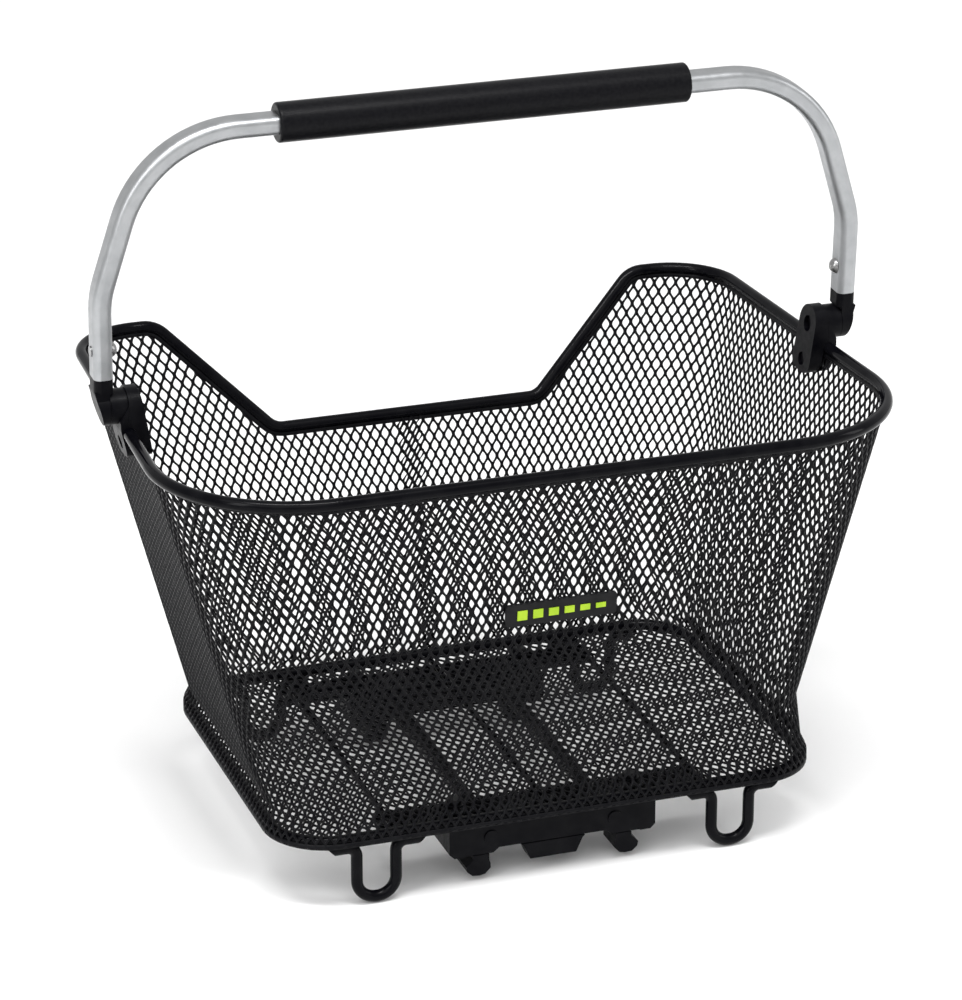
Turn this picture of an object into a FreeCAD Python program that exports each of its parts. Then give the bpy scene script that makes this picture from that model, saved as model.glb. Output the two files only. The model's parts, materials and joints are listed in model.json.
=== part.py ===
import FreeCAD, Part
import math
import os

# Bicycle rear-rack basket. Millimetres, +X along the long side, -Y to the badge side, +Z up.
# The origin is on the ground under the middle of the basket, which stands on four foot loops.

V = FreeCAD.Vector
X_AXIS = V(1, 0, 0)
Y_AXIS = V(0, 1, 0)
Z_AXIS = V(0, 0, 1)

# Driving dimensions
BASE_Z = 44.0                 # centre of the base rim above the ground
RIM_Z = 263.5                 # centre of the top rim
SKIRT_Z = BASE_Z + 12.0       # below this height the walls flare out over the base rim
FLARE_Z = BASE_Z + 4.0        # from here down they are upright again
FLARE = 4.0
TOP_LENGTH = 440.0            # between rim centres at mid depth
TOP_TAPER = 16.0              # the front is this much longer than the back
TOP_DEPTH = 321.0
TOP_FRONT_RADIUS = 84.0
TOP_BACK_RADIUS = 42.0
CORNER_Z = BASE_Z + 34.0       # the front corners tighten quickly below this height
CORNER_RADIUS = 66.0
BASE_LENGTH = 334.0           # at the skirt, like the next three
BASE_FRONT_Y = -139.5
BASE_BACK_Y = 98.5
BASE_RADIUS = 35.0
SHEET = 1.2                   # expanded metal
TOP_RIM_R = 3.8
BASE_RIM_R = 3.5
DIP_Z = 194.0                 # rim height in the saddle recess
DIP_HALF = 88.0               # half the recess width at its bottom
HORN_HALF = 158.5             # half the recess width at the rim
TOUCH = 0.05                  # gap between parts that rest on each other

PIVOT_Y = -4.0
PIVOT_Z = 277.0
PIN_R = 3.0
PIN_PLAY = 0.05
PIN_END_X = 234.2
LEG_X = 233.5                 # handle leg centre
LEG_END_Z = 297.0             # lower end of the metal tube
HANDLE_TOP_Z = 441.0
HANDLE_LEAN = 3.0             # degrees forward of upright
TUBE_WIDTH = 11.5
TUBE_DEPTH = 16.0
TUBE_CORNER = 4.0
TUBE_WALL = 1.5
GRIP_R = 11.75
GRIP_LENGTH = 252.0
GRIP_X = -1.8
RIVET_Z = 313.0

CLAMP_HALF_WIDTH = 13.0       # at the bottom, narrowing to the round top
CLAMP_LOW_Z = 247.0
CLAMP_TOP_R = 11.5
CLAMP_SCREW_Z = 254.5
BOSS_R = 10.5
BOSS_END_X = 230.1

WIRE_R = 2.0
WIRE_X = 97.0
STRIP_X = 103.0
STRIP_TOP_Z = BASE_Z - 6.6
STRIP_THICK = 2.4
FRONT_STRIP_Y = (-127.0, -98.0)
BACK_STRIP_Y = (68.0, 93.0)
SCREW_X = 55.5
FRONT_SCREW_Y = -112.5
BACK_SCREW_Y = 82.0
SCREW_R = 2.5

LOOP_X = 111.5
LOOP_R = 3.5
LOOP_HALF = 12.0              # from the loop's middle to the centre of each leg
LOOP_FOOT = 30.0              # from the loop's middle to the end of each foot
FRONT_LOOP = (-136.0, BASE_Z - 6.7)        # depth, and height of its feet
BACK_LOOP = (97.8, BASE_Z - BASE_RIM_R - LOOP_R - TOUCH)

BLOCK_X = 65.0
BLOCK_TOP_Z = STRIP_TOP_Z - STRIP_THICK - TOUCH
BLOCK_MID_Z = 20.3
BLOCK_LOW_Z = 16.9
FRONT_BLOCK_Y = (-132.0, -104.0)
BACK_BLOCK_Y = (62.0, 90.0)
HOOK_X = (40.0, 50.0)
HOOK_TIP_X = 54.4
HOOK_LOW_Z = 3.4
HOOK_THICK = 12.0
HOOK_Y = -119.0
HOOK_TRAVEL = 3.0
LEVER_TRAVEL = 6.0
CAM_PIN_X = 24.0
CAVITY_Y = (-129.0, -107.0)
SPRING_Z = 25.0
CAP_Z = 28.0
SPRING_SEAT_Y = -119.0        # bottom of the spring's pocket in the lever
RAIL_X = 37.0
SEAT_X = 55.4                 # the seats for the rack tubes lie outside this

BADGE_X = -4.0
BADGE_HALF = 34.0


# Helpers
def mix(low, high, part):
    return low + (high - low) * part


def box(x_range, y_range, z_range):
    corner = V(x_range[0], y_range[0], z_range[0])
    return Part.makeBox(x_range[1] - x_range[0], y_range[1] - y_range[0], z_range[1] - z_range[0], corner)


def cylinder(start, end, radius):
    return Part.makeCylinder(radius, (end - start).Length, start, end - start)


def fuse(shapes):
    return shapes[0].multiFuse(shapes[1:]).removeSplitter()


def mirrored(shape):
    return shape.mirror(V(0, 0, 0), X_AXIS)


def both_sides(shape):
    return Part.makeCompound([shape, mirrored(shape)])


def prism(points, depth):
    """Flat polygon pushed out along a vector."""
    return Part.Face(Part.makePolygon(points + points[:1])).extrude(depth)


def rounded_path(points, radii, closed=False):
    """Straight runs through the points, with each bend rounded to its radius."""
    count = len(points)
    bends = []
    for i, here in enumerate(points):
        if not closed and i in (0, count - 1):
            bends.append((here, None, here))
            continue
        back = (points[i - 1] - here).normalize()
        ahead = (points[(i + 1) % count] - here).normalize()
        half_angle = back.getAngle(ahead) / 2
        run = radii[i] / math.tan(half_angle)
        rise = radii[i] / math.sin(half_angle) - radii[i]
        bends.append((here + back * run, here + (back + ahead).normalize() * rise, here + ahead * run))
    edges = []
    for i, (enter, middle, leave) in enumerate(bends):
        if middle:
            edges.append(Part.Arc(enter, middle, leave).toShape())
        if closed or i < count - 1:
            edges.append(Part.makeLine(leave, bends[(i + 1) % count][0]))
    return Part.Wire(edges)


def swept(path, profile):
    return path.makePipeShell([profile], True, False)


def rod(path, radius):
    """Round bar along a path."""
    first = path.OrderedEdges[0]
    start = first.valueAt(first.FirstParameter)
    along = first.tangentAt(first.FirstParameter)
    return swept(path, Part.Wire(Part.Circle(start, along, radius).toShape()))


def rounded_rectangle(centre, width, depth, radius, across=X_AXIS, up=Y_AXIS):
    signs = ((-1, -1), (1, -1), (1, 1), (-1, 1))
    corners = [centre + across * (i * width / 2) + up * (j * depth / 2) for i, j in signs]
    return rounded_path(corners, [radius] * 4, closed=True)


def save(node, shape):
    for solid in shape.Solids:
        if not solid.isValid() or solid.Volume < 1.0:
            raise ValueError("bad solid in " + node)
    if not shape.Solids:
        raise ValueError("no solid in " + node)
    shape.exportStep("parts/" + node + ".step")


# Basket shell
def front_radius_at(z):
    """Radius of the front corners: nearly even at first, then tightening down to the base."""
    if z > CORNER_Z:
        return mix(CORNER_RADIUS, TOP_FRONT_RADIUS, (z - CORNER_Z) / (RIM_Z - CORNER_Z))
    return mix(BASE_RADIUS, CORNER_RADIUS, max(0.0, (z - SKIRT_Z) / (CORNER_Z - SKIRT_Z)))


def wall_corners(z, inset=0.0):
    """Corner points and radii of the wall outline at one height, front left first."""
    rise = max(0.0, (z - SKIRT_Z) / (RIM_Z - SKIRT_Z))
    inset -= FLARE * min(1.0, max(0.0, (SKIRT_Z - z) / (SKIRT_Z - FLARE_Z)))
    half_front = mix(BASE_LENGTH, TOP_LENGTH + TOP_TAPER, rise) / 2 - inset
    half_back = mix(BASE_LENGTH, TOP_LENGTH - TOP_TAPER, rise) / 2 - inset
    front = mix(BASE_FRONT_Y, -TOP_DEPTH / 2, rise) + inset
    back = mix(BASE_BACK_Y, TOP_DEPTH / 2, rise) - inset
    front_radius = front_radius_at(z) - inset
    back_radius = mix(BASE_RADIUS, TOP_BACK_RADIUS, rise) - inset
    front_points = [V(-half_front, front, z), V(half_front, front, z)]
    back_points = [V(half_back, back, z), V(-half_back, back, z)]
    return front_points + back_points, [front_radius, front_radius, back_radius, back_radius]


def wall_outline(z, inset=0.0):
    points, radii = wall_corners(z, inset)
    return rounded_path(points, radii, closed=True)


def back_wall_point(x, z):
    points, _ = wall_corners(z)
    return V(x, points[2].y, z)


def rim_path():
    """Top rim: level round the front, sides and horns, dropping into the saddle recess at the back."""
    corners, radii = wall_corners(RIM_Z)
    recess = [
        back_wall_point(HORN_HALF, RIM_Z),
        back_wall_point(DIP_HALF, DIP_Z),
        back_wall_point(-DIP_HALF, DIP_Z),
        back_wall_point(-HORN_HALF, RIM_Z),
    ]
    return rounded_path(corners[:3] + recess + corners[3:], radii[:3] + [18, 14, 14, 18] + radii[3:], True)


def base_rim_path():
    return wall_outline(BASE_Z, SHEET + TOUCH + BASE_RIM_R)


def wall_band(index, z):
    """Slice through one run of the wall. Even runs are corners, odd runs are the flat sides after them."""
    outer = wall_outline(z).OrderedEdges[index]
    inner = wall_outline(z, SHEET).OrderedEdges[index]
    ends = [edge.valueAt(edge.ParameterRange[i]) for edge in (outer, inner) for i in (0, 1)]
    return Part.Wire([outer, Part.makeLine(ends[1], ends[3]), inner, Part.makeLine(ends[2], ends[0])])


def wall_panel(index):
    top = RIM_Z - TOP_RIM_R - TOUCH
    bands = [wall_band(index, z) for z in (BASE_Z - BASE_RIM_R, FLARE_Z, SKIRT_Z, CORNER_Z, top)]
    return fuse([Part.makeLoft(bands[i:i + 2], True, True) for i in range(4)])


def saddle_recess_cutter():
    """Everything above the rim line of the back wall, square to that wall."""
    over = RIM_Z + 40.0
    points = [
        back_wall_point(-190, RIM_Z),
        back_wall_point(-HORN_HALF, RIM_Z),
        back_wall_point(-DIP_HALF, DIP_Z),
        back_wall_point(DIP_HALF, DIP_Z),
        back_wall_point(HORN_HALF, RIM_Z),
        back_wall_point(190, RIM_Z),
        back_wall_point(190, over),
        back_wall_point(-190, over),
    ]
    face = Part.Face(rounded_path(points, [1, 18, 14, 14, 18, 1, 1, 1], closed=True))
    normal = face.normalAt(0, 0)
    face.translate(normal * -15)
    return face.extrude(normal * 30)


def build_walls():
    names = ["corner_front_left", "front", "corner_front_right", "right",
             "corner_back_right", "back", "corner_back_left", "left"]
    for index, name in enumerate(names):
        panel = wall_panel(index)
        if name == "back":
            panel = panel.cut(saddle_recess_cutter()).cut(rod(rim_path(), TOP_RIM_R + TOUCH))
        if name in ("left", "right"):
            side = -1 if name == "left" else 1
            panel = panel.cut(clamp_screw_axis(side, SCREW_R + 0.2))
        save("wall_" + name, panel)


def build_rims():
    save("top_rim", rod(rim_path(), TOP_RIM_R))
    save("base_rim", rod(base_rim_path(), BASE_RIM_R))


def screw_places():
    return [(x, y) for x in (-SCREW_X, SCREW_X) for y in (FRONT_SCREW_Y, BACK_SCREW_Y)]


def screw_holes(shape, radius):
    for x, y in screw_places():
        shape = shape.cut(cylinder(V(x, y, 0), V(x, y, BASE_Z + 10), radius))
    return shape


def build_floor():
    rim_width = 2 * BASE_RIM_R + TOUCH
    floor = Part.Face(wall_outline(BASE_Z, SHEET + TOUCH + rim_width)).extrude(Z_AXIS * SHEET)
    floor.translate(Z_AXIS * -2.5)
    save("floor_mesh", screw_holes(floor, SCREW_R + 0.2))
    for name, x in (("left", -WIRE_X), ("middle", 0.0), ("right", WIRE_X)):
        z = BASE_Z - 2.5 - WIRE_R - TOUCH
        front_end = V(x, FRONT_LOOP[0] + LOOP_R + 0.5, z)
        back_end = V(x, BACK_LOOP[0] - LOOP_R - 0.5, z)
        save("floor_wire_" + name, cylinder(front_end, back_end, WIRE_R))
    for name, y_range in (("front", FRONT_STRIP_Y), ("back", BACK_STRIP_Y)):
        strip = box((-STRIP_X, STRIP_X), y_range, (STRIP_TOP_Z - STRIP_THICK, STRIP_TOP_Z))
        upright = [edge for edge in strip.Edges if abs(edge.tangentAt(0).z) > 0.9]
        save("strip_" + name, screw_holes(strip.makeFillet(5, upright), SCREW_R + 0.2))
    screws = []
    for x, y in screw_places():
        washer = cylinder(V(x, y, BASE_Z - 1.25), V(x, y, BASE_Z - 0.25), 6.0)
        head = cylinder(V(x, y, BASE_Z - 0.25), V(x, y, BASE_Z + 2.5), 4.5)
        head = head.makeFillet(1.5, [max(head.Edges, key=lambda edge: edge.CenterOfMass.z)])
        shank = cylinder(V(x, y, BLOCK_LOW_Z + 4), V(x, y, BASE_Z), SCREW_R)
        screws.append(fuse([washer, head, shank]))
    save("mounting_screws", Part.makeCompound(screws))


def foot_loop(x, place):
    """U-shaped wire with a bevelled foot each side, welded under the floor edge."""
    y, foot_z = place
    offsets = [-LOOP_FOOT, -LOOP_HALF, -LOOP_HALF, LOOP_HALF, LOOP_HALF, LOOP_FOOT]
    heights = [foot_z, foot_z, LOOP_R, LOOP_R, foot_z, foot_z]
    points = [V(x + offset, y, z) for offset, z in zip(offsets, heights)]
    loop = rod(rounded_path(points, [0, 6, LOOP_HALF - 0.5, LOOP_HALF - 0.5, 6, 0]), LOOP_R)
    for side in (-1, 1):
        bevel = [(LOOP_FOOT - 5.5, -LOOP_R - 0.5), (LOOP_FOOT + 1, -LOOP_R - 0.5), (LOOP_FOOT + 1, 3.0)]
        corner = [V(x + side * offset, y - 5, foot_z + rise) for offset, rise in bevel]
        loop = loop.cut(prism(corner, Y_AXIS * 10))
    return loop


def build_foot_loops():
    for name, place in (("front", FRONT_LOOP), ("back", BACK_LOOP)):
        for side, x in (("left", -LOOP_X), ("right", LOOP_X)):
            save("foot_loop_" + name + "_" + side, foot_loop(x, place))


# Badge
def on_front_wall(x, along, out):
    """Point on the outside of the front wall, measured up the slope and out from it."""
    low = wall_corners(SKIRT_Z)[0][0]
    high = wall_corners(RIM_Z)[0][0]
    slope = V(0, high.y - low.y, high.z - low.z).normalize()
    outward = V(0, -slope.z, slope.y)
    start = V(x, low.y, low.z)
    return start + slope * along + outward * out


def badge_slab(x_range, along_range, out_range):
    corners = [(x_range[0], along_range[0]), (x_range[1], along_range[0]),
               (x_range[1], along_range[1]), (x_range[0], along_range[1])]
    points = [on_front_wall(x, along, out_range[0]) for x, along in corners]
    depth = on_front_wall(0, 0, out_range[1]) - on_front_wall(0, 0, out_range[0])
    return prism(points, depth)


def build_badge():
    middle = 122.5
    half_height = 7.0
    across = (BADGE_X - BADGE_HALF, BADGE_X + BADGE_HALF)
    plate = badge_slab(across, (middle - half_height, middle + half_height), (TOUCH, 2.0))
    ends = [edge for edge in plate.Edges if abs(edge.tangentAt(0).x) < 0.1 and 1.5 < edge.Length < 3]
    save("badge_plate", plate.makeFillet(2.0, ends))
    bars = []
    for i in range(6):
        start = BADGE_X - 27.0 + i * 9.6
        tall = 3.0 - i * 0.3
        bars.append(badge_slab((start, start + 6.0), (middle - tall, middle + tall), (2.0 + TOUCH, 2.6)))
    save("badge_bars", Part.makeCompound(bars))


# Handle mounting on the rim
def side_x(z, y=PIVOT_Y):
    """Outer face of the right wall at a height and depth."""
    points, _ = wall_corners(z)
    along = (y - points[1].y) / (points[2].y - points[1].y)
    return mix(points[1].x, points[2].x, along)


def clamp_screw_axis(side, radius):
    return cylinder(V(side * 200, PIVOT_Y, CLAMP_SCREW_Z), V(side * 235, PIVOT_Y, CLAMP_SCREW_Z), radius)


def clamp_block():
    """Both halves in one: wedge-shaped seen from the front, round-topped seen from the side."""
    split = side_x(RIM_Z)
    top = PIVOT_Z + CLAMP_TOP_R
    wedge = [(213.0, top), (split, top), (split, PIVOT_Z + 3), (225.6, 270.0), (225.6, 265.0),
             (221.6, CLAMP_LOW_Z), (206.6, CLAMP_LOW_Z)]
    front = prism([V(x, PIVOT_Y - 20, z) for x, z in wedge], Y_AXIS * 40)
    corners = [(-CLAMP_TOP_R, PIVOT_Z + CLAMP_TOP_R), (CLAMP_TOP_R, PIVOT_Z + CLAMP_TOP_R),
               (CLAMP_HALF_WIDTH, CLAMP_LOW_Z), (-CLAMP_HALF_WIDTH, CLAMP_LOW_Z)]
    points = [V(200, PIVOT_Y + y, z) for y, z in corners]
    side = Part.Face(rounded_path(points, [CLAMP_TOP_R - 0.4, CLAMP_TOP_R - 0.4, 8, 8], closed=True))
    boss = cylinder(V(split - 1, PIVOT_Y, PIVOT_Z), V(BOSS_END_X, PIVOT_Y, PIVOT_Z), BOSS_R)
    return fuse([front.common(side.extrude(X_AXIS * 40)), boss])


def clamp_clearance():
    """Space the rim and the mesh take between the two clamp halves."""
    rim_ends = [V(side_x(RIM_Z, y), y, RIM_Z) for y in (PIVOT_Y - 20, PIVOT_Y + 20)]
    rim = cylinder(rim_ends[0], rim_ends[1], TOP_RIM_R + TOUCH)
    slack = 1.0
    profile = []
    low = CLAMP_LOW_Z - 5
    for z, offset in ((RIM_Z, slack), (low, slack), (low, -SHEET - slack), (RIM_Z, -SHEET - slack)):
        profile.append(V(side_x(z) + offset, PIVOT_Y - 20, z))
    return fuse([rim, prism(profile, Y_AXIS * 40)])


def build_clamps():
    split = side_x(RIM_Z)
    parting = box((split - TOUCH, split + TOUCH), (PIVOT_Y - 20, PIVOT_Y + 20), (RIM_Z, PIVOT_Z + 15))
    whole = clamp_block()
    cutters = [
        clamp_clearance(),
        parting,
        cylinder(V(200, PIVOT_Y, PIVOT_Z), V(240, PIVOT_Y, PIVOT_Z), PIN_R + TOUCH),
        cylinder(V(200, PIVOT_Y, PIVOT_Z), V(214.6, PIVOT_Y, PIVOT_Z), 5.0),
        clamp_screw_axis(1, 2.1),
        cylinder(V(200, PIVOT_Y, CLAMP_SCREW_Z), V(211.0, PIVOT_Y, CLAMP_SCREW_Z), 4.2),
        cylinder(V(220.4, PIVOT_Y, CLAMP_SCREW_Z), V(230, PIVOT_Y, CLAMP_SCREW_Z), 4.0),
    ]
    for cutter in cutters:
        whole = whole.cut(cutter)
    inner, outer = sorted(whole.Solids, key=lambda half: half.CenterOfMass.x)
    pin = fuse([
        cylinder(V(213.9, PIVOT_Y, PIVOT_Z), V(PIN_END_X, PIVOT_Y, PIVOT_Z), PIN_R),
        cylinder(V(213.9, PIVOT_Y, PIVOT_Z), V(214.5, PIVOT_Y, PIVOT_Z), 4.6),
    ])
    screw = fuse([
        cylinder(V(209.4, PIVOT_Y, CLAMP_SCREW_Z), V(221.8, PIVOT_Y, CLAMP_SCREW_Z), 2.0),
        cylinder(V(209.4, PIVOT_Y, CLAMP_SCREW_Z), V(210.9, PIVOT_Y, CLAMP_SCREW_Z), 3.9),
        cylinder(V(220.5, PIVOT_Y, CLAMP_SCREW_Z), V(222.0, PIVOT_Y, CLAMP_SCREW_Z), 3.7),
    ])
    for side, place in (("left", mirrored), ("right", lambda shape: shape)):
        save("clamp_inner_" + side, place(inner))
        save("clamp_outer_" + side, place(outer))
    save("pivot_pins", both_sides(pin))
    save("clamp_screws", both_sides(screw))


# Handle
def lean(shape):
    shape = shape.copy()
    shape.rotate(V(0, PIVOT_Y, PIVOT_Z), X_AXIS, HANDLE_LEAN)
    return shape


def handle_path():
    """Right leg up, a slight bend inward, a wide curve, across the top and down the other leg."""
    inward = math.tan(math.radians(17.4))
    bend_z = 346.0
    shoulder = V(LEG_X - (HANDLE_TOP_Z - bend_z) * inward, PIVOT_Y, HANDLE_TOP_Z)
    right = [V(LEG_X, PIVOT_Y, LEG_END_Z), V(LEG_X, PIVOT_Y, bend_z), shoulder]
    left = [V(-point.x, point.y, point.z) for point in reversed(right)]
    return rounded_path(right + left, [0, 60, 72, 72, 60, 0])


def tube_profile(shrink):
    return rounded_rectangle(V(LEG_X, PIVOT_Y, LEG_END_Z), TUBE_WIDTH - 2 * shrink, TUBE_DEPTH - 2 * shrink,
                             TUBE_CORNER - shrink)


def rivet_axis(radius, start=220.0, end=245.0):
    return cylinder(V(start, PIVOT_Y, RIVET_Z), V(end, PIVOT_Y, RIVET_Z), radius)


def build_tube():
    path = handle_path()
    tube = swept(path, tube_profile(0)).cut(swept(path, tube_profile(TUBE_WALL)))
    for side in (1, -1):
        hole = rivet_axis(2.05)
        tube = tube.cut(hole if side == 1 else mirrored(hole))
    save("handle_tube", lean(tube))


def build_grip():
    grip = Part.makeCylinder(GRIP_R, GRIP_LENGTH, V(GRIP_X - GRIP_LENGTH / 2, PIVOT_Y, HANDLE_TOP_Z), X_AXIS)
    ends = [edge for edge in grip.Edges if abs(edge.Length - 2 * math.pi * GRIP_R) < 0.1]
    grip = grip.makeFillet(1.5, ends)
    centre = V(-GRIP_LENGTH, PIVOT_Y, HANDLE_TOP_Z)
    bore_size = (TUBE_DEPTH + 2 * TOUCH, TUBE_WIDTH + 2 * TOUCH)
    bore = rounded_rectangle(centre, *bore_size, TUBE_CORNER, Y_AXIS, Z_AXIS)
    save("handle_grip", lean(grip.cut(Part.Face(bore).extrude(X_AXIS * 2 * GRIP_LENGTH))))


def elbow():
    """Plastic end piece: plug in the tube, collar that carries on its shape, then a round lug set inward."""
    lug_in = BOSS_END_X + 0.3
    outer = LEG_X + TUBE_WIDTH / 2
    collar_low = LEG_END_Z - 9.0
    plug = Part.Face(tube_profile(TUBE_WALL + TOUCH)).extrude(Z_AXIS * 34)
    plug.translate(Z_AXIS * -4)
    collar = Part.Face(tube_profile(0)).extrude(Z_AXIS * (collar_low - LEG_END_Z))
    collar.translate(Z_AXIS * -TOUCH)
    lug = cylinder(V(lug_in, PIVOT_Y, PIVOT_Z), V(outer, PIVOT_Y, PIVOT_Z), BOSS_R)
    web = box((lug_in, outer), (PIVOT_Y - 7.9, PIVOT_Y + 7.9), (PIVOT_Z, collar_low + 1))
    low = PIVOT_Z - 20
    slant = [(outer, collar_low), (outer + 9, collar_low), (outer + 9, low), (outer - 8, low)]
    shape = fuse([plug, collar, web, lug])
    shape = shape.cut(prism([V(x, PIVOT_Y - 20, z) for x, z in slant], Y_AXIS * 40))
    shape = shape.cut(cylinder(V(215, PIVOT_Y, PIVOT_Z), V(lug_in, PIVOT_Y, PIVOT_Z), BOSS_R + 0.4))
    pin_hole = cylinder(V(220, PIVOT_Y, PIVOT_Z), V(PIN_END_X + 0.3, PIVOT_Y, PIVOT_Z), PIN_R + PIN_PLAY)
    return shape.cut(pin_hole).cut(rivet_axis(2.05))


def rivet():
    """Dome head inside the tube leg, flat tail outside."""
    inner_face = LEG_X - TUBE_WIDTH / 2
    ball = Part.makeSphere(5.0, V(inner_face + 1.2, PIVOT_Y, RIVET_Z))
    inside = Part.makeBox(5, 12, 12, V(inner_face - TOUCH - 5, PIVOT_Y - 6, RIVET_Z - 6))
    dome = ball.common(inside)
    shank = rivet_axis(2.0, inner_face - 1, LEG_X + TUBE_WIDTH / 2 + 0.6)
    tail = rivet_axis(3.2, LEG_X + TUBE_WIDTH / 2 + TOUCH, LEG_X + TUBE_WIDTH / 2 + 0.8)
    return fuse([dome, shank, tail])


def build_handle():
    build_tube()
    build_grip()
    save("handle_elbow_right", lean(elbow()))
    save("handle_elbow_left", lean(mirrored(elbow())))
    save("handle_rivets", lean(both_sides(rivet())))


# Rack adapter under the floor
def block(y_range):
    """Adapter block: deeper at its ends, with a raised seat there for each rack tube."""
    step_z = BLOCK_LOW_Z + 0.5
    outline = [(-BLOCK_X, BLOCK_TOP_Z), (-BLOCK_X, BLOCK_LOW_Z + 3), (-BLOCK_X + 3, BLOCK_LOW_Z),
               (-SEAT_X, BLOCK_LOW_Z), (-SEAT_X + 0.5, step_z), (-37.5, step_z), (-34, BLOCK_MID_Z)]
    outline += [(-x, z) for x, z in reversed(outline)]
    return prism([V(x, y_range[0], z) for x, z in outline], Y_AXIS * (y_range[1] - y_range[0]))


def screw_bores(shape, y):
    """Blind holes in the top of a block for its two mounting screws."""
    for x in (-SCREW_X, SCREW_X):
        shape = shape.cut(cylinder(V(x, y, BLOCK_LOW_Z + 3.5), V(x, y, BLOCK_TOP_Z + 1), SCREW_R + 0.1))
    return shape


def hook_profile(y_range):
    """Hook below a block, in the right-hand half: a neck with a blunt head that reaches outward."""
    outline = [(HOOK_X[0], 23.4), (HOOK_X[0], 12.6), (HOOK_X[0] - 0.8, 10.4), (HOOK_X[0] - 0.8, 7.6),
               (HOOK_X[0] + 2.6, HOOK_LOW_Z + 0.6), (HOOK_X[0] + 6.0, HOOK_LOW_Z),
               (HOOK_X[1] + 0.6, HOOK_LOW_Z + 0.4), (HOOK_TIP_X - 0.6, 6.6), (HOOK_TIP_X, 9.6),
               (HOOK_X[1], 14.4), (HOOK_X[1], 23.4)]
    return prism([V(x, y_range[0], z) for x, z in outline], Y_AXIS * (y_range[1] - y_range[0]))


def cam_slot(side):
    """Slanted slot in the lever's cam plate. Pushing the lever in draws the hook inward."""
    y = HOOK_Y
    spare = 0.4
    slope = HOOK_TRAVEL / LEVER_TRAVEL
    near = V(side * (CAM_PIN_X + spare * slope), y + spare, 28.0)
    far = V(side * (CAM_PIN_X - HOOK_TRAVEL - spare * slope), y - LEVER_TRAVEL - spare, 28.0)
    reach = 2.0
    ends = [cylinder(point, point + Z_AXIS * 5, reach) for point in (near, far)]
    across = (far - near).cross(Z_AXIS).normalize() * reach
    return fuse(ends + [prism([near + across, far + across, far - across, near - across], Z_AXIS * 5)])


def build_front_housing():
    shape = block(FRONT_BLOCK_Y)
    shape = shape.cut(box((-51.0, 51.0), CAVITY_Y, (23.0, 33.0)))
    for side in (-1, 1):
        slot_x = sorted((side * (HOOK_X[0] - HOOK_TRAVEL - 0.4), side * (HOOK_X[1] + 0.2)))
        slot_y = (HOOK_Y - HOOK_THICK / 2 - 0.3, HOOK_Y + HOOK_THICK / 2 + 0.3)
        shape = shape.cut(box(slot_x, slot_y, (10, 24)))
    shape = shape.cut(box((-8.3, 8.3), (HOOK_Y - 7.3, HOOK_Y + 5.3 + LEVER_TRAVEL), (10, 24)))
    shape = screw_bores(shape, FRONT_SCREW_Y)
    for x in (-39.0, 39.0):
        shape = shape.cut(cylinder(V(x, FRONT_BLOCK_Y[0] - 1, CAP_Z), V(x, CAVITY_Y[0] + 1, CAP_Z), 2.1))
    save("adapter_housing", shape)
    caps = []
    for x in (-39.0, 39.0):
        head = cylinder(V(x, FRONT_BLOCK_Y[0] - 0.9, CAP_Z), V(x, FRONT_BLOCK_Y[0] - TOUCH, CAP_Z), 4.2)
        plug = cylinder(V(x, FRONT_BLOCK_Y[0] - 0.5, CAP_Z), V(x, CAVITY_Y[0] - 0.4, CAP_Z), 2.0)
        caps.append(fuse([head, plug]))
    save("housing_caps", Part.makeCompound(caps))


def build_front_hooks():
    """Sprung hook: a bar in the housing with the hook below it and a cam pin on top."""
    neck_y = (HOOK_Y - HOOK_THICK / 2, HOOK_Y + HOOK_THICK / 2)
    bar = box((17.0, HOOK_X[1]), neck_y, (23.3, 28.0))
    nose = hook_profile((FRONT_BLOCK_Y[0] + 0.3, HOOK_Y))
    nose = nose.cut(box((0, 80), (-200, HOOK_Y - HOOK_THICK / 2), (BLOCK_LOW_Z - 0.2, 40)))
    pin = cylinder(V(CAM_PIN_X, HOOK_Y, 27.0), V(CAM_PIN_X, HOOK_Y, 31.6), 1.6)
    hook = fuse([bar, hook_profile(neck_y), nose, pin])
    save("hook_right", hook)
    save("hook_left", mirrored(hook))


def build_lever():
    """Push lever: paddle below the housing, stem through its floor and cam plate above the hook bars."""
    top = BLOCK_MID_Z - 0.4
    outline = [(-20, top), (-18.5, 18.6), (-14.5, 9.6), (14.5, 9.6), (18.5, 18.6), (20, top)]
    paddle = prism([V(x, FRONT_BLOCK_Y[0] - 0.5, z) for x, z in outline], Y_AXIS * 11)
    stem = box((-8, 8), (HOOK_Y - 7, HOOK_Y + 5), (BLOCK_MID_Z - 1, 30.6))
    plate = box((-29, 29), (HOOK_Y - 9.4, HOOK_Y + 5), (28.4, 30.6))
    shape = fuse([paddle, stem, plate])
    for side in (-1, 1):
        shape = shape.cut(cam_slot(side))
    pocket = cylinder(V(0, SPRING_SEAT_Y, SPRING_Z), V(0, HOOK_Y + 6, SPRING_Z), 3.2)
    save("release_lever", shape.cut(pocket))


def build_lever_spring():
    """Compression spring between its pocket in the lever and the back of the housing."""
    wire_r = 0.35
    length = CAVITY_Y[1] - SPRING_SEAT_Y - 2 * (wire_r + TOUCH)
    coil = Part.makeHelix(1.9, length, 2.4)
    start = coil.Edges[0].valueAt(coil.Edges[0].FirstParameter)
    along = coil.Edges[0].tangentAt(coil.Edges[0].FirstParameter)
    section = Part.Wire(Part.Circle(start, along, wire_r).toShape())
    spring = Part.Wire(coil).makePipeShell([section], True, True)
    spring.rotate(V(0, 0, 0), X_AXIS, -90)
    spring.translate(V(0, SPRING_SEAT_Y + wire_r + TOUCH, SPRING_Z))
    save("lever_spring", spring)


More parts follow.
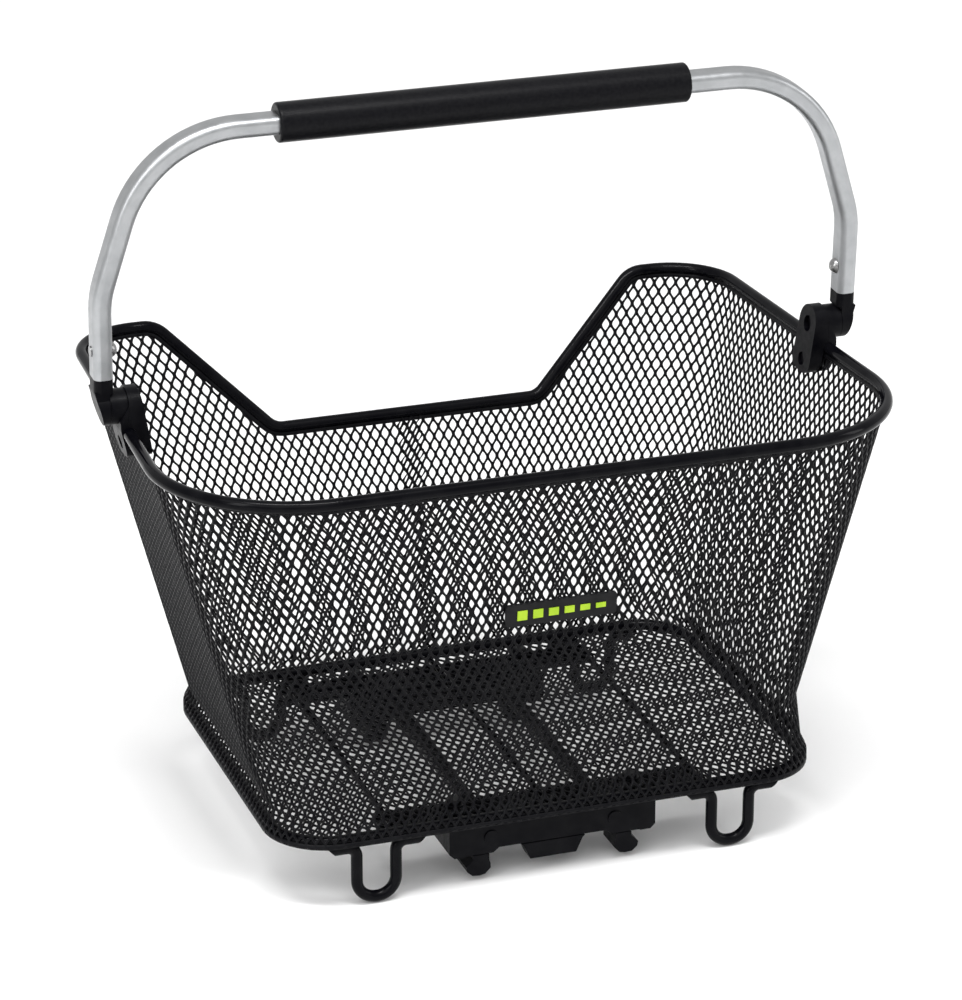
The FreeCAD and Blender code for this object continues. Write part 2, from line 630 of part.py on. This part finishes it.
def build_back_block():
    hook = hook_profile((BACK_BLOCK_Y[0] + 2, BACK_BLOCK_Y[0] + 2 + HOOK_THICK))
    shape = fuse([block(BACK_BLOCK_Y), hook, mirrored(hook)])
    shape = shape.cut(box((-30, 30), (BACK_BLOCK_Y[0] + 4, BACK_BLOCK_Y[1] - 4), (BLOCK_MID_Z - 1, 32)))
    save("adapter_back_block", screw_bores(shape, BACK_SCREW_Y))


def build_rails():
    for name, x in (("left", -RAIL_X), ("right", RAIL_X)):
        rail = box((x - 4, x + 4), (FRONT_BLOCK_Y[1] + TOUCH, BACK_BLOCK_Y[0] - TOUCH), (26, 33))
        along = [edge for edge in rail.Edges if abs(edge.tangentAt(0).y) > 0.9]
        save("adapter_rail_" + name, rail.makeFillet(1.5, along))


os.makedirs("parts", exist_ok=True)
build_walls()
build_rims()
build_floor()
build_foot_loops()
build_badge()
build_clamps()
build_handle()
build_front_housing()
build_front_hooks()
build_lever()
build_lever_spring()
build_back_block()
build_rails()
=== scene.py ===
import json
import math

import bpy
import numpy as np
from mathutils import Matrix, Vector


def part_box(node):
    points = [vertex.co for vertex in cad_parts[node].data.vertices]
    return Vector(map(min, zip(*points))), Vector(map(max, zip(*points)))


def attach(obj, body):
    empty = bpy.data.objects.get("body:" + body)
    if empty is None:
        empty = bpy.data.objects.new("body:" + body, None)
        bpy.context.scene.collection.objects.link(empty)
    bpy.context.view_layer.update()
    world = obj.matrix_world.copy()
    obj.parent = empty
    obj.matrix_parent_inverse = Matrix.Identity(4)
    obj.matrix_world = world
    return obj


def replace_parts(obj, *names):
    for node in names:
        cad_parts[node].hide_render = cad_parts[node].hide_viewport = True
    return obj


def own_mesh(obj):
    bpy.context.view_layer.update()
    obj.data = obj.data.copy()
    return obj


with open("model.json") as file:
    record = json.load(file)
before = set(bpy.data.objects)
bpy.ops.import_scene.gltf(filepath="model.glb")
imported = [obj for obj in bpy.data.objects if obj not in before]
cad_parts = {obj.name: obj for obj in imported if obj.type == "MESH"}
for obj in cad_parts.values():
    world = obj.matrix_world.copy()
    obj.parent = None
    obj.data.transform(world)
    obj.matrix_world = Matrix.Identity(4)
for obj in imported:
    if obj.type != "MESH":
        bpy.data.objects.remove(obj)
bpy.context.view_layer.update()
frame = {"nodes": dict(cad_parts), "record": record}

# Looks of a bicycle rear-rack basket. Metres, +X along the long side, -Y to the badge side, +Z up.

# Shell dimensions, which match the CAD model
rim_low, rim_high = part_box("top_rim")
base_low, base_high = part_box("base_rim")
floor_low, floor_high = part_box("floor_mesh")
RIM_R = 0.0038
BASE_RIM_R = 0.0035
RIM_Z = rim_high.z - RIM_R
BASE_Z = (base_low.z + base_high.z) / 2
SKIRT_Z = BASE_Z + 0.012        # below this the walls flare out over the base rim
FLARE_Z = BASE_Z + 0.004
FLARE = 0.004
DIP_Z = rim_low.z + RIM_R
DIP_HALF = 0.088
HORN_HALF = 0.1585
TOP_HALF_LENGTH = 0.220
TOP_TAPER = 0.008
TOP_RADII = (0.042, 0.084)      # back, front
CORNER_Z = BASE_Z + 0.034       # the front corners tighten quickly below this height
CORNER_RADIUS = 0.066
BASE_RADIUS = 0.035
HORN_BEND = 0.018
DIP_BEND = 0.014
SHEET = 0.0012
FIT_GAP = 0.00005
COVER = FLARE - SHEET - FIT_GAP  # from the base rim's outside in to the walls at the skirt

# Plain edges of the metal. Each profile is closed.
HEM_STEPS = 480                 # round the basket
RIM_HEM = [(0.0005, 0.002), (0.0006, 0.0050), (0.0001, 0.0057),
           (-0.0013, 0.0057), (-0.0018, 0.0050), (-0.0017, 0.002)]   # out and down from the rim's middle
BASE_HEM = (0.0003, 0.0035)     # up from the lowest line of the base rim

# Expanded metal
COLUMNS = 196                   # round the whole basket, so the openings widen towards the rim
PITCH_X = 0.0063
PITCH_Z = 0.0111
OPENING_HALF = (0.00212, 0.00364)
BOND_HALF = 0.0012              # half the length of the joint between two openings side by side
CROWN = 0.0008                  # half the metal's thickness at the middle of a strand
LIP = 0.0003                    # and at the edge of an opening
EDGE_ROOM = 0.001               # least distance from an opening's middle to the sheet's edge
WALL_FOOT_Z = BASE_Z - BASE_RIM_R + 0.001
SEAM_OFFSET = 0.0013            # from the wall to the second layer at the seam
MERGE_STEPS = 2e5               # per metre: points that round to the same step become one


# Materials
def new_material(name):
    material = bpy.data.materials.new(name)
    material.use_nodes = True
    return material, material.node_tree.nodes, material.node_tree.links


def noise(nodes, links, scale, detail=3.0, stretch=(1, 1, 1)):
    """Noise in object space, as a factor from 0 to 1."""
    place = nodes.new("ShaderNodeTexCoord")
    mapping = nodes.new("ShaderNodeMapping")
    mapping.inputs["Scale"].default_value = stretch
    texture = nodes.new("ShaderNodeTexNoise")
    texture.inputs["Scale"].default_value = scale
    texture.inputs["Detail"].default_value = detail
    links.new(place.outputs["Object"], mapping.inputs["Vector"])
    links.new(mapping.outputs["Vector"], texture.inputs["Vector"])
    return texture.outputs["Fac"]


def ramp(nodes, links, factor, low, high, start=0.35, end=0.65):
    """Colour or value that runs from low to high as the factor rises."""
    node = nodes.new("ShaderNodeValToRGB")
    node.color_ramp.elements[0].position = start
    node.color_ramp.elements[1].position = end
    for element, value in zip(node.color_ramp.elements, (low, high)):
        colour = value if isinstance(value, tuple) else (value, value, value)
        element.color = (*colour, 1.0)
    links.new(factor, node.inputs["Fac"])
    return node.outputs["Color"]


def surface(name, colours, roughness, metallic=0.0, colour_scale=90.0, grain_scale=1500.0,
            grain=0.02, stretch=(1, 1, 1), shine=0.5):
    """Surface whose colour and roughness drift a little, with a fine grain."""
    material, nodes, links = new_material(name)
    shader = nodes["Principled BSDF"]
    shader.inputs["Metallic"].default_value = metallic
    shader.inputs["Specular IOR Level"].default_value = shine
    drift = noise(nodes, links, colour_scale, stretch=stretch)
    links.new(ramp(nodes, links, drift, *colours), shader.inputs["Base Color"])
    wear = noise(nodes, links, colour_scale * 3, 5.0, stretch)
    links.new(ramp(nodes, links, wear, *roughness), shader.inputs["Roughness"])
    bump = nodes.new("ShaderNodeBump")
    bump.inputs["Strength"].default_value = grain
    bump.inputs["Distance"].default_value = 0.0005
    links.new(noise(nodes, links, grain_scale, 2.0, stretch), bump.inputs["Height"])
    links.new(bump.outputs["Normal"], shader.inputs["Normal"])
    return material


MATERIALS = {
    "mesh_black": surface("mesh_coat", ((0.002, 0.002, 0.003), (0.005, 0.005, 0.006)), (0.26, 0.38),
                          shine=0.09),
    "wire_black": surface("wire_coat", ((0.001, 0.001, 0.002), (0.003, 0.003, 0.004)), (0.09, 0.15),
                          grain=0.03, shine=0.08),
    "plastic_black": surface("moulded_plastic", ((0.001, 0.001, 0.002), (0.004, 0.004, 0.005)),
                             (0.30, 0.42), grain_scale=3000.0, grain=0.08, shine=0.07),
    "handle_aluminium": surface("satin_anodising", ((0.38, 0.39, 0.40), (0.44, 0.45, 0.46)),
                                (0.34, 0.44), metallic=1.0),
    "grip_foam": surface("closed_foam", ((0.001, 0.001, 0.002), (0.004, 0.004, 0.005)), (0.30, 0.40),
                         colour_scale=500.0, grain_scale=2600.0, grain=0.1, shine=0.12),
    "hardware_steel": surface("zinc_plate", ((0.26, 0.26, 0.27), (0.36, 0.36, 0.35)), (0.20, 0.32),
                              metallic=1.0),
    "hardware_black": surface("black_zinc", ((0.002, 0.002, 0.003), (0.006, 0.006, 0.007)),
                              (0.28, 0.42), shine=0.12),
    "badge_grey": surface("badge_body", ((0.003, 0.003, 0.004), (0.008, 0.008, 0.009)), (0.35, 0.48),
                          grain=0.05, shine=0.15),
    "badge_green": surface("badge_print", ((0.30, 0.48, 0.012), (0.38, 0.56, 0.02)), (0.35, 0.45),
                           shine=0.3),
}
SLOT_OF = {part["node"]: part["material_slot"] for part in frame["record"]["subparts"]}


def finish_piece(piece, slot, body):
    """Gives a piece its material and the CAD body it moves with."""
    piece.data.materials.clear()
    piece.data.materials.append(MATERIALS[slot])
    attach(piece, body)
    return piece


# Shapes
def mesh_object(name, points, faces, smooth=True):
    mesh = bpy.data.meshes.new(name)
    mesh.from_pydata([tuple(point) for point in points], [], [tuple(face) for face in faces])
    mesh.polygons.foreach_set("use_smooth", [smooth] * len(mesh.polygons))
    mesh.update()
    piece = bpy.data.objects.new(name, mesh)
    bpy.context.scene.collection.objects.link(piece)
    return piece


def rounded_outline(points, radii, step=math.radians(5)):
    """Closed line through the points, with each bend rounded to its radius."""
    line = []
    for i, here in enumerate(points):
        back = (points[i - 1] - here).normalized()
        ahead = (points[(i + 1) % len(points)] - here).normalized()
        half_angle = back.angle(ahead) / 2
        centre = here + (back + ahead).normalized() * (radii[i] / math.sin(half_angle))
        start = here + back * (radii[i] / math.tan(half_angle)) - centre
        turn = math.pi - 2 * half_angle
        axis = ahead.cross(back)
        steps = max(2, round(turn / step))
        for k in range(steps + 1):
            line.append(centre + Matrix.Rotation(turn * k / steps, 3, axis) @ start)
    return line


def spaced(line, fractions):
    """Points at these fractions of a closed line's length."""
    ring = np.array([tuple(point) for point in line + line[:1]])
    lengths = np.concatenate([[0], np.cumsum(np.linalg.norm(np.diff(ring, axis=0), axis=1))])
    return np.stack([np.interp(fractions * lengths[-1], lengths, ring[:, k]) for k in range(3)], axis=-1)


# Basket shell
def mix(low, high, part):
    return low + (high - low) * part


def front_radius_at(z):
    """Radius of the front corners: nearly even at first, then tightening down to the base."""
    if z > CORNER_Z:
        return mix(CORNER_RADIUS, TOP_RADII[1], (z - CORNER_Z) / (RIM_Z - CORNER_Z))
    return mix(BASE_RADIUS, CORNER_RADIUS, max(0.0, (z - SKIRT_Z) / (CORNER_Z - SKIRT_Z)))


def wall_frame(z):
    """Half lengths, front, back and corner radii of the wall outline at a height."""
    rise = min(1.0, max(0.0, (z - SKIRT_Z) / (RIM_Z - SKIRT_Z)))
    flare = FLARE * min(1.0, max(0.0, (SKIRT_Z - z) / (SKIRT_Z - FLARE_Z)))
    base_half = base_high.x - COVER
    return {
        "half_front": mix(base_half, TOP_HALF_LENGTH + TOP_TAPER, rise) + flare,
        "half_back": mix(base_half, TOP_HALF_LENGTH - TOP_TAPER, rise) + flare,
        "front": mix(base_low.y + COVER, rim_low.y + RIM_R, rise) - flare,
        "back": mix(base_high.y - COVER, rim_high.y - RIM_R, rise) + flare,
        "radius_front": front_radius_at(z) + flare,
        "radius_back": mix(BASE_RADIUS, TOP_RADII[0], rise) + flare,
    }


def wall_outline(z):
    """Outline at one height, anticlockwise from the middle of the back."""
    f = wall_frame(z)
    corners = [
        Vector((-f["half_back"], f["back"], z)),
        Vector((-f["half_front"], f["front"], z)),
        Vector((f["half_front"], f["front"], z)),
        Vector((f["half_back"], f["back"], z)),
    ]
    radii = [f["radius_back"], f["radius_front"], f["radius_front"], f["radius_back"]]
    return [Vector((0, f["back"], z))] + rounded_outline(corners, radii)


class WallSurface:
    """The wall as a grid, so that a point is found from how far round and how high it is."""

    ROWS = 112
    STEPS_ROUND = 1440

    def __init__(self):
        self.heights = np.linspace(BASE_Z - BASE_RIM_R, RIM_Z, self.ROWS + 1)
        self.fractions = np.linspace(0, 1, self.STEPS_ROUND + 1)
        self.grid = np.stack([spaced(wall_outline(z), self.fractions) for z in self.heights])
        along = np.gradient(self.grid, axis=1)
        along[:, 0] = along[:, -1] = along[:, 0] + along[:, -1]
        normals = np.cross(along, np.gradient(self.grid, axis=0))
        self.normals = normals / np.linalg.norm(normals, axis=-1, keepdims=True)

    def at(self, fraction, z, out):
        """Points at these fractions round and heights, moved out from the wall."""
        column = (fraction % 1.0) * (len(self.fractions) - 1)
        row = (z - self.heights[0]) / (self.heights[1] - self.heights[0])
        row = np.clip(row, 0, len(self.heights) - 1.001)
        i = np.floor(row).astype(int)
        j = np.minimum(np.floor(column).astype(int), len(self.fractions) - 2)
        v = (row - i)[..., None]
        u = (column - j)[..., None]
        blended = []
        for table in (self.grid, self.normals):
            low = table[i, j] * (1 - u) + table[i, j + 1] * u
            high = table[i + 1, j] * (1 - u) + table[i + 1, j + 1] * u
            blended.append(low * (1 - v) + high * v)
        return blended[0] + blended[1] * np.asarray(out)[..., None]

    def top(self, fraction, z):
        """Height of the wall's edge over these points: level, except in the saddle recess."""
        place = self.at(fraction, z, np.zeros_like(z))
        slope = (RIM_Z - DIP_Z) / (HORN_HALF - DIP_HALF)
        recess = np.clip(DIP_Z + (np.abs(place[..., 0]) - DIP_HALF) * slope, DIP_Z, RIM_Z)
        return np.where(place[..., 1] > 0, recess, RIM_Z)


WALL = WallSurface()


def cell_rings():
    """Border and opening of one expanded-metal cell, as two matching rings of points in pitches."""
    tip = 0.5 * PITCH_Z - BOND_HALF
    side = 0.5 * PITCH_X
    wide, tall = OPENING_HALF
    border = [(0, tip), (side / 2, (tip + BOND_HALF) / 2), (side, BOND_HALF)]
    opening = [(0, tall), (0.60 * wide, 0.58 * tall), (wide, 0.16 * tall)]
    rings = []
    for quarter in (border, opening):
        right = quarter + [(x, -y) for x, y in reversed(quarter)]
        ring = right + [(-x, y) for x, y in reversed(right[1:-1])]
        rings.append(np.array(ring) / (PITCH_X, PITCH_Z))
    return rings


BORDER, OPENING = cell_rings()


def cell_layers(centres):
    """Four rings per cell, front border to back border, as column, row and offset from the sheet."""
    rings = np.stack([BORDER, OPENING, OPENING, BORDER])
    offsets = np.array([CROWN, LIP, -LIP, -CROWN])
    spots = centres[:, None, None, :] + rings[None]
    outs = np.broadcast_to(offsets[None, :, None], spots.shape[:3])
    return spots, outs


def join_cells(name, points):
    """One mesh from cells of four rings each, with the shared borders merged."""
    cells, layers, count = points.shape[:3]
    flat = points.reshape(-1, 3)
    keys = np.round(flat * MERGE_STEPS).astype(np.int64)
    _, first, index = np.unique(keys, axis=0, return_index=True, return_inverse=True)
    index = index.reshape(cells, layers, count)
    ahead = np.roll(index, -1, axis=2)
    quads = np.stack([index[:, :-1], index[:, 1:], ahead[:, 1:], ahead[:, :-1]], axis=-1).reshape(-1, 4)
    sound = np.array([len(set(quad)) == 4 for quad in quads.tolist()])
    return mesh_object(name, flat[first], quads[sound])


def wall_mesh():
    """Cells all round the wall, sorted by the CAD panel they belong to."""
    rows = int((RIM_Z - BASE_Z) / (PITCH_Z / 2)) + 1
    columns, lines = np.meshgrid(np.arange(COLUMNS), np.arange(rows))
    centres = np.stack([columns + 0.5 * (lines % 2), 0.5 * lines], axis=-1).reshape(-1, 2)
    fraction = centres[:, 0] / COLUMNS
    height = BASE_Z + centres[:, 1] * PITCH_Z
    keep = height < WALL.top(fraction, height) - EDGE_ROOM
    centres, fraction, height = centres[keep], fraction[keep], height[keep]
    spots, outs = cell_layers(centres)
    around = spots[..., 0] / COLUMNS
    z = BASE_Z + spots[..., 1] * PITCH_Z
    z = np.maximum(z, WALL_FOOT_Z)
    for _ in range(2):          # the edge's height shifts a little as the points come down to it
        z = np.minimum(z, WALL.top(around, z))
    points = WALL.at(around, z, outs - SHEET / 2)
    names = panel_names(WALL.at(fraction, height, np.zeros_like(height)))
    for name in sorted(set(names)):
        piece = join_cells("expanded_" + name, points[names == name])
        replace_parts(finish_piece(piece, "mesh_black", "basket"), name)


def panel_names(places):
    """CAD wall panel each place lies on."""
    names = []
    for x, y, z in places:
        f = wall_frame(z)
        half = f["half_front"] - f["radius_front"] if y < 0 else f["half_back"] - f["radius_back"]
        flat_x = abs(x) < half
        flat_y = f["front"] + f["radius_front"] < y < f["back"] - f["radius_back"]
        end = "front" if y < 0 else "back"
        side = "left" if x < 0 else "right"
        if flat_x and not flat_y:
            names.append("wall_" + end)
        elif flat_y:
            names.append("wall_" + side)
        else:
            names.append("wall_corner_" + end + "_" + side)
    return np.array(names)


def back_seam():
    """Second layer of metal where the two ends of the sheet overlap."""
    rows = int((DIP_Z - BASE_Z) / (PITCH_Z / 2))
    columns, lines = np.meshgrid(np.array([-1, 0]), np.arange(rows))
    across = columns + 0.5 + 0.5 * (lines % 2) - 0.25
    centres = np.stack([across, 0.5 * lines + 0.25], axis=-1).reshape(-1, 2)
    spots, outs = cell_layers(centres)
    z = np.clip(BASE_Z + spots[..., 1] * PITCH_Z, BASE_Z + BASE_RIM_R, DIP_Z)
    points = WALL.at(spots[..., 0] / COLUMNS, z, outs - SHEET / 2 - SEAM_OFFSET)
    finish_piece(join_cells("back_seam", points), "mesh_black", "basket")


def round_corners(flat, half):
    """Points of a rectangle, those past its rounded corners drawn back to them."""
    radius = BASE_RADIUS + FLARE - 2 * SHEET - 2 * BASE_RIM_R
    corner = np.array([half.x - radius, half.y - radius])
    over = np.maximum(np.abs(flat) - corner, 0)
    length = np.linalg.norm(over, axis=-1, keepdims=True)
    over = over * np.minimum(1, radius / np.maximum(length, 1e-9))
    return np.sign(flat) * (np.minimum(np.abs(flat), corner) + over)


def floor_mesh():
    """The same metal laid flat, trimmed to the rounded outline of the base."""
    middle = (floor_low + floor_high) / 2
    half = (floor_high - floor_low) / 2
    columns = int(half.x / PITCH_X) + 1
    rows = int(half.y / (PITCH_Z / 2)) + 1
    across, lines = np.meshgrid(np.arange(-columns, columns + 1), np.arange(-rows, rows + 1))
    centres = np.stack([across + 0.5 * (lines % 2), 0.5 * lines], axis=-1).reshape(-1, 2)
    reach = np.abs(centres) * (PITCH_X, PITCH_Z)
    centres = centres[np.all(reach < (half.x - EDGE_ROOM, half.y - EDGE_ROOM), axis=1)]
    spots, outs = cell_layers(centres)
    flat = spots * (PITCH_X, PITCH_Z)
    flat = round_corners(np.clip(flat, (-half.x, -half.y), (half.x, half.y)), half)
    points = np.concatenate([flat + (middle.x, middle.y), (middle.z + outs)[..., None]], axis=-1)
    piece = join_cells("expanded_floor", points)
    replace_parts(finish_piece(piece, "mesh_black", "basket"), "floor_mesh")


def rim_line():
    """Centre line of the top rim."""
    f = wall_frame(RIM_Z)

    def back_point(x, z):
        return Vector((x, wall_frame(z)["back"], z))

    corners = [
        Vector((-f["half_front"], f["front"], RIM_Z)),
        Vector((f["half_front"], f["front"], RIM_Z)),
        Vector((f["half_back"], f["back"], RIM_Z)),
        back_point(HORN_HALF, RIM_Z),
        back_point(DIP_HALF, DIP_Z),
        back_point(-DIP_HALF, DIP_Z),
        back_point(-HORN_HALF, RIM_Z),
        Vector((-f["half_back"], f["back"], RIM_Z)),
    ]
    back, front = TOP_RADII
    radii = [front, front, back, HORN_BEND, DIP_BEND, DIP_BEND, HORN_BEND, back]
    return rounded_outline(corners, radii)


def band(name, points):
    """Closed band round the basket, from the points of its profile at each step round."""
    count, sides = points.shape[:2]
    faces = []
    for i in range(count):
        for j in range(sides):
            k, m = (i + 1) % count, (j + 1) % sides
            faces.append((i * sides + j, k * sides + j, k * sides + m, i * sides + m))
    finish_piece(mesh_object(name, points.reshape(-1, 3), faces), "mesh_black", "basket")


def outward(place, along):
    """Direction square to the wall at a place on the rim, before it is brought to unit length."""
    drop = 0.01                 # the wall's lean is measured over this height
    near = 0.001
    f = wall_frame(place[2])
    lower = wall_frame(place[2] - drop)
    if place[1] > f["back"] - near:
        return (0, drop, -(f["back"] - lower["back"]))
    if place[1] < f["front"] + near:
        return (0, -drop, -(lower["front"] - f["front"]))
    turn = np.cross(along, (0, 0, 1))
    lean = (f["half_front"] - lower["half_front"]) / drop
    return turn - np.array((0, 0, lean))


def hem_fractions():
    return np.linspace(0, 1, HEM_STEPS + 1)[:-1]


def rim_hem():
    """Metal folded double just below the top rim."""
    line = spaced(rim_line(), hem_fractions())
    along = np.roll(line, -1, axis=0) - np.roll(line, 1, axis=0)
    along /= np.linalg.norm(along, axis=1, keepdims=True)
    out = np.array([outward(place, heading) for place, heading in zip(line, along)])
    out /= np.linalg.norm(out, axis=1, keepdims=True)
    down = np.cross(out, along)
    down *= np.where(down[:, 2:3] > 0, -1, 1)
    band("rim_hem", np.stack([line + out * side + down * drop for side, drop in RIM_HEM], axis=1))


def base_hem():
    """Plain edge of the metal where it is turned under the base rim."""
    fractions = hem_fractions()
    low, high = (BASE_Z - BASE_RIM_R + rise for rise in BASE_HEM)
    rings = []
    for out, z in ((0.0, low), (0.0, high), (-SHEET, high), (-SHEET, low)):
        rings.append(WALL.at(fractions, np.full_like(fractions, z), np.full_like(fractions, out)))
    band("base_hem", np.stack(rings, axis=1))


wall_mesh()
back_seam()
floor_mesh()
rim_hem()
base_hem()


def return_spring():
    """Spring of the lever, copied from the CAD part with a mesh of its own."""
    spring = bpy.data.objects.new("return_spring", frame["nodes"]["lever_spring"].data.copy())
    bpy.context.scene.collection.objects.link(spring)
    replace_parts(finish_piece(spring, "hardware_steel", "basket"), "lever_spring")
    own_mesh(spring)


return_spring()


# CAD pieces shown as they are, the moulded ones with softened edges
EDGE_WIDTHS = {"hook_": 0.0014, "adapter_housing": 0.0006, "adapter_back": 0.0006, "release_lever": 0.0006,
               "clamp_inner": 0.0008, "clamp_outer": 0.0008, "handle_elbow": 0.0006}
SHARPEST_KEPT = math.radians(35)   # edges that bend less than this stay as they are


def soften_edges(piece, width):
    bevel = piece.modifiers.new("soft_edges", "BEVEL")
    bevel.width = width
    bevel.segments = 3
    bevel.limit_method = "ANGLE"
    bevel.angle_limit = SHARPEST_KEPT
    bevel.harden_normals = True


for node, piece in frame["nodes"].items():
    piece.data.materials.clear()
    piece.data.materials.append(MATERIALS[SLOT_OF[node]])
    for start, width in EDGE_WIDTHS.items():
        if node.startswith(start):
            soften_edges(piece, width)


# Studio
BASKET_MIDDLE = (0, 0, 0.2)
FLOOR_SIZE = 30
FLOOR_DROP = 0.0003             # below the feet, so the two don't share a plane
SUN_ANGLE = math.radians(70)    # wide, for soft shadows
CAMERA_PLACE = (-0.7633, -2.1856, 1.1196)
CAMERA_AIM = (0.3061, 0.8756, -0.3738)
CAMERA_LENS = 148.18            # millimetres, like the sensor
CAMERA_SENSOR = 36.0


def studio_floor():
    material, nodes, links = new_material("pale_floor")
    tone = noise(nodes, links, 3.0)
    shader = nodes["Principled BSDF"]
    links.new(ramp(nodes, links, tone, 0.86, 0.88), shader.inputs["Base Color"])
    shader.inputs["Roughness"].default_value = 0.9
    bpy.ops.mesh.primitive_plane_add(size=FLOOR_SIZE, location=(0, 0, -FLOOR_DROP))
    plane = bpy.context.object
    plane.name = "studio_floor"
    plane.data.materials.append(material)


def broad_sun(direction, strength):
    light = bpy.data.lights.new("broad_sun", "SUN")
    light.energy = strength
    light.angle = SUN_ANGLE
    lamp = bpy.data.objects.new("broad_sun", light)
    lamp.rotation_mode = "QUATERNION"
    lamp.rotation_quaternion = Vector(direction).to_track_quat("-Z", "Y")
    bpy.context.scene.collection.objects.link(lamp)


def soft_light(name, place, target, size, power):
    light = bpy.data.lights.new(name, "AREA")
    light.shape = "RECTANGLE"
    light.size, light.size_y = size
    light.energy = power
    lamp = bpy.data.objects.new(name, light)
    lamp.location = place
    lamp.rotation_mode = "QUATERNION"
    lamp.rotation_quaternion = (Vector(target) - Vector(place)).to_track_quat("-Z", "Y")
    bpy.context.scene.collection.objects.link(lamp)


def studio_world():
    world = bpy.data.worlds.new("studio")
    bpy.context.scene.world = world
    world.use_nodes = True
    world.node_tree.nodes["Background"].inputs["Color"].default_value = (1, 1, 1, 1)
    world.node_tree.nodes["Background"].inputs["Strength"].default_value = 0.72


def studio_camera():
    data = bpy.data.cameras.new("camera")
    data.sensor_width = CAMERA_SENSOR
    data.lens = CAMERA_LENS
    data.clip_end = 50
    camera = bpy.data.objects.new("camera", data)
    camera.location = CAMERA_PLACE
    camera.rotation_mode = "QUATERNION"
    camera.rotation_quaternion = Vector(CAMERA_AIM).to_track_quat("-Z", "Y")
    bpy.context.scene.collection.objects.link(camera)
    bpy.context.scene.camera = camera


bpy.context.scene.view_settings.view_transform = "Standard"
studio_floor()
studio_world()
broad_sun((0.3, 0.5, -1.0), 1.3)
soft_light("overhead", (-0.3, -0.6, 2.0), BASKET_MIDDLE, (1.4, 0.12), 24)
soft_light("left_window", (-2.0, -1.2, 1.3), BASKET_MIDDLE, (0.5, 1.6), 12)
soft_light("right_window", (2.2, -0.8, 1.0), BASKET_MIDDLE, (0.5, 1.4), 8)
studio_camera()
